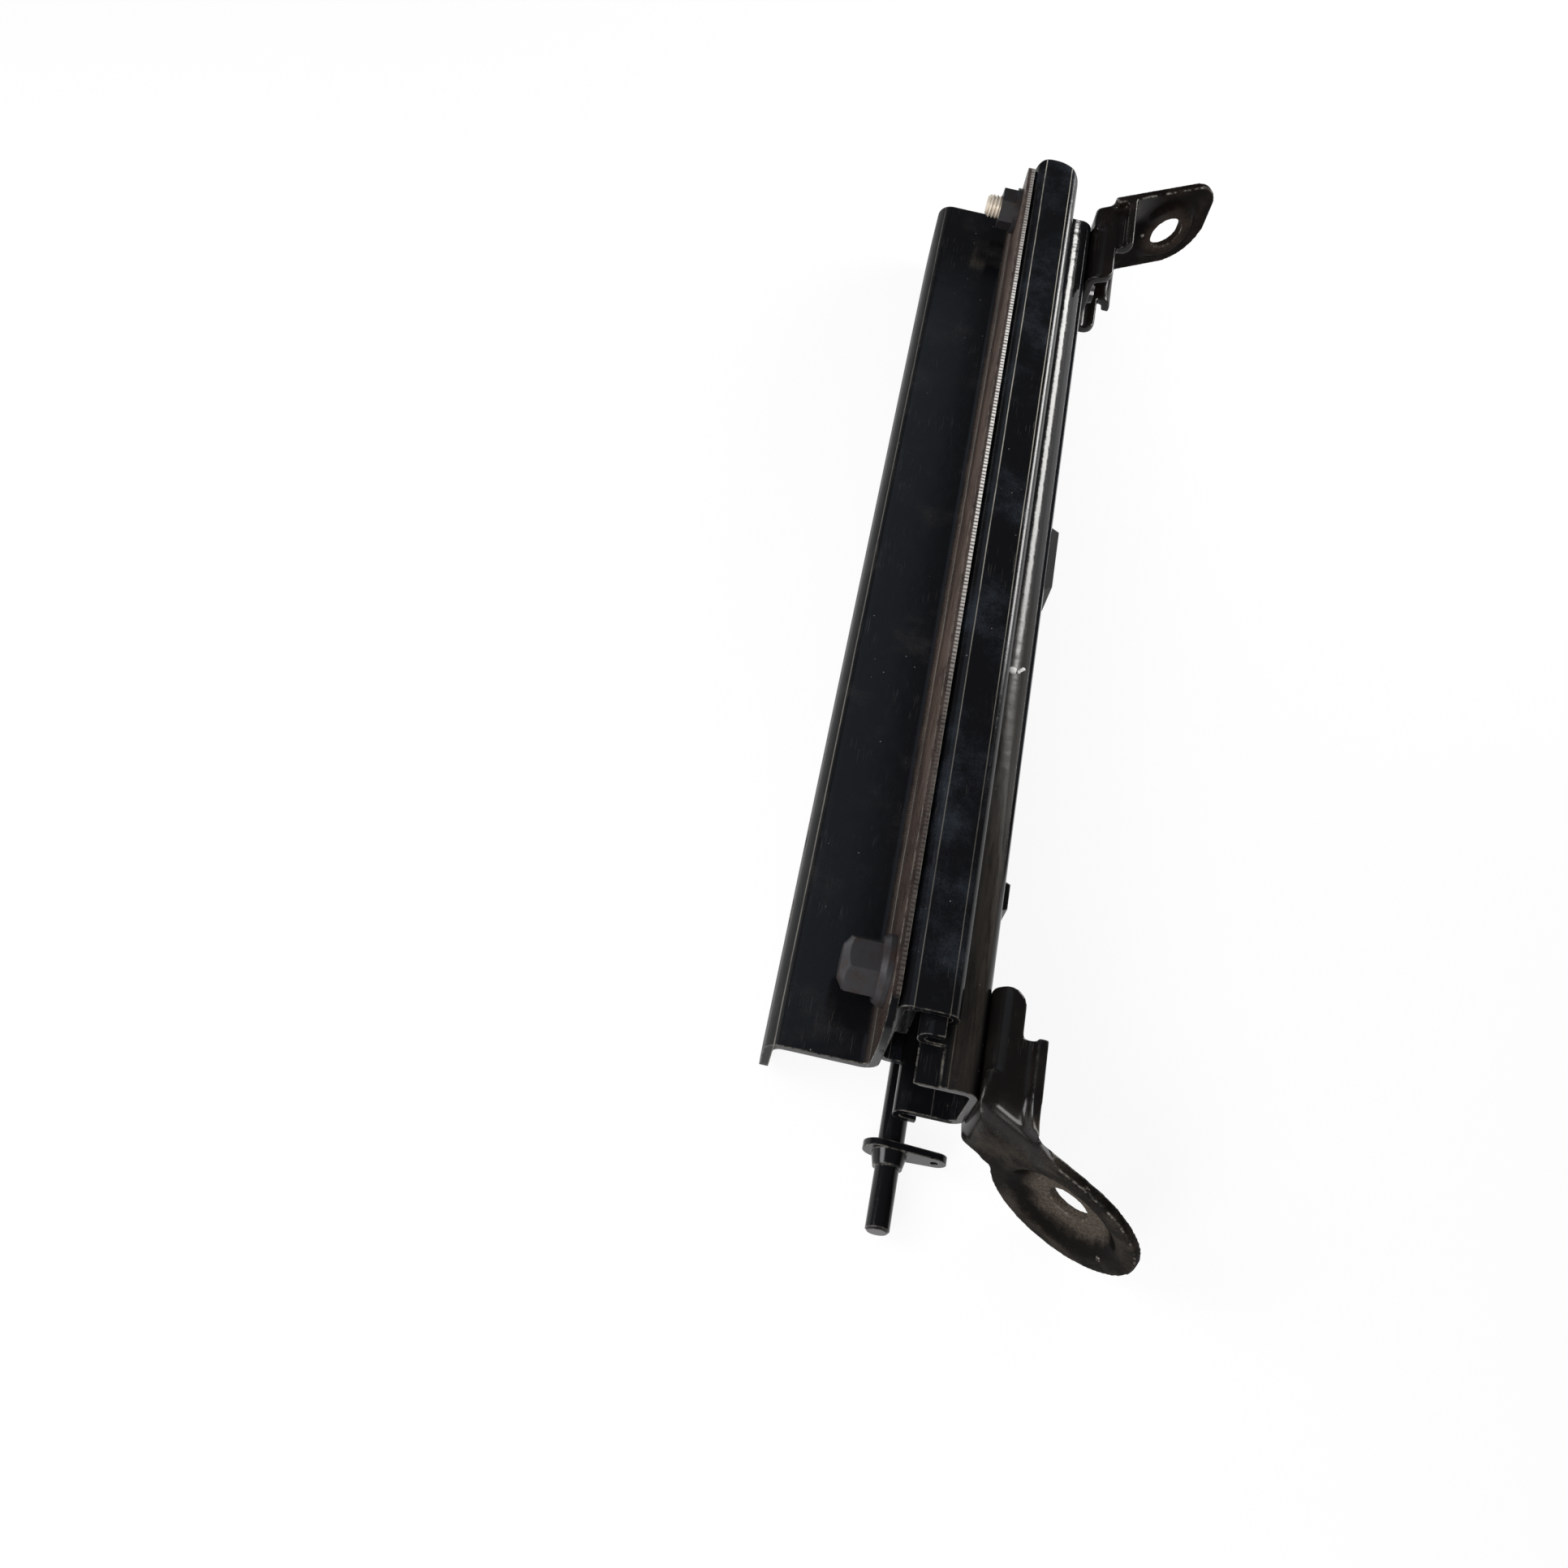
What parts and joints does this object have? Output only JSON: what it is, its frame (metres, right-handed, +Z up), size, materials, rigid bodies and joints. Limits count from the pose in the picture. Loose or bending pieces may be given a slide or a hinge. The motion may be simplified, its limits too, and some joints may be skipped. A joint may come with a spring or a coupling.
{
  "type": "seat slide rail",
  "caption": "Sheet-steel seat slide rail: a seat bracket on an upper rail that rolls in a lower rail with sloping floor feet, locked by a sprung pawl on a release rod.",
  "frame": {"origin": "middle of the part's box on the ground it lies on", "axes": "+Y to the rear along the rail, +X down as fitted in a car (to the right as it lies), +Z up as it lies, which is outboard as fitted"},
  "size_m": [0.101, 0.3894, 0.0495],
  "materials": {
    "rail_paint": "gloss black, dusty",
    "foot_paint": "satin black, dusty",
    "dark_zinc": "dark zinc",
    "bare_steel": "bare steel",
    "nylon": "natural nylon",
    "clip_plastic": "black nylon"
  },
  "bodies": {
    "lower_rail": {"lower_rail": "rail_paint", "front_foot": "foot_paint", "rear_foot": "foot_paint", "foot_rivets": "rail_paint"},
    "slider": {"upper_rail": "rail_paint", "seat_bracket": "rail_paint", "seat_weld_nuts": "dark_zinc", "nut_plate": "dark_zinc", "front_bolt": "dark_zinc", "rear_stud": "bare_steel", "rear_nut": "dark_zinc", "front_rod_clip": "clip_plastic", "rear_rod_clip": "clip_plastic"},
    "balls": {"outer_ball_cage": "nylon", "inner_ball_cage": "nylon", "outer_balls": "bare_steel", "inner_balls": "bare_steel"},
    "latch": {"release_rod": "rail_paint", "rod_link_tab": "rail_paint", "latch_pawl": "foot_paint", "latch_spring": "bare_steel"}
  },
  "joints": [
    {"name": "rail_slide", "type": "slide", "parent": "lower_rail", "child": "slider", "axis": [0, 1, 0], "range_m": [-0.12, 0.06]},
    {"name": "ball_roll", "type": "slide", "parent": "lower_rail", "child": "balls", "axis": [0, 1, 0], "range_m": [-0.06, 0.03]},
    {"name": "latch_turn", "type": "hinge", "parent": "slider", "child": "latch", "pos_m": [-0.01242, -0.05772, 0.006], "axis": [0, 1, 0], "range_deg": [-18, 0], "deforming": ["latch_spring"]}
  ],
  "couplings": [
    {"joint": "ball_roll", "follows": "rail_slide", "ratio": 0.5}
  ]
}
